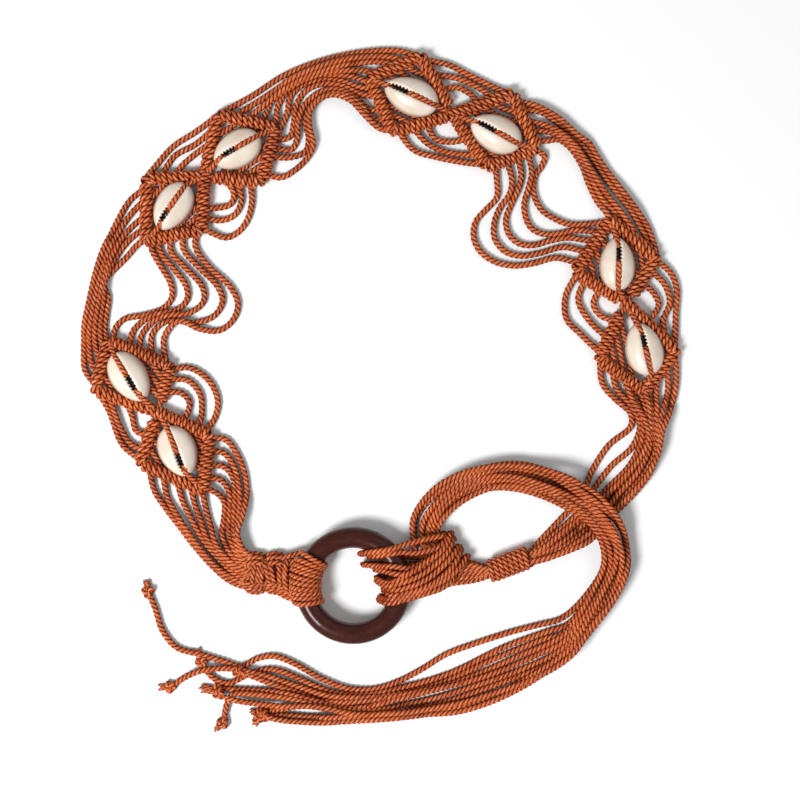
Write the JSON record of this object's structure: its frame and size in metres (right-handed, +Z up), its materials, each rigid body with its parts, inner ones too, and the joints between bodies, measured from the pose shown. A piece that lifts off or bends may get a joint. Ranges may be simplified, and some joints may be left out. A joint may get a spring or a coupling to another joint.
{
  "type": "rope belt",
  "caption": "Knotted cord belt with panels of diamond knotting that hold cowrie shells, closed by a wood ring and a tie that ends in a long knotted tail.",
  "frame": {"origin": "middle of the underside of the belt's box as it lies in a round on a flat surface", "axes": "+Z up from the surface, out of the shells' toothed side; +Y from the knotted tail and the ring across the round to its far side; +X towards the side where the tail turns back"},
  "size_m": [0.2552, 0.2898, 0.016],
  "materials": {
    "cord": "three-ply twisted cord, matte",
    "wood": "dark stained wood under a glossy varnish",
    "shell": null
  },
  "bodies": {
    "root": {"wood_ring": "wood", "ring_hitches": "cord", "knotted_start": "cord", "shell_panel_1": "cord", "cowrie_1": "shell", "cowrie_2": "shell", "shell_panel_2": "cord", "cowrie_3": "shell", "cowrie_4": "shell", "shell_panel_3": "cord", "cowrie_5": "shell", "cowrie_6": "shell", "shell_panel_4": "cord", "cowrie_7": "shell", "cowrie_8": "shell", "gathering_wrap": "cord", "ring_tie": "cord", "tail": "cord"}
  },
  "joints": []
}
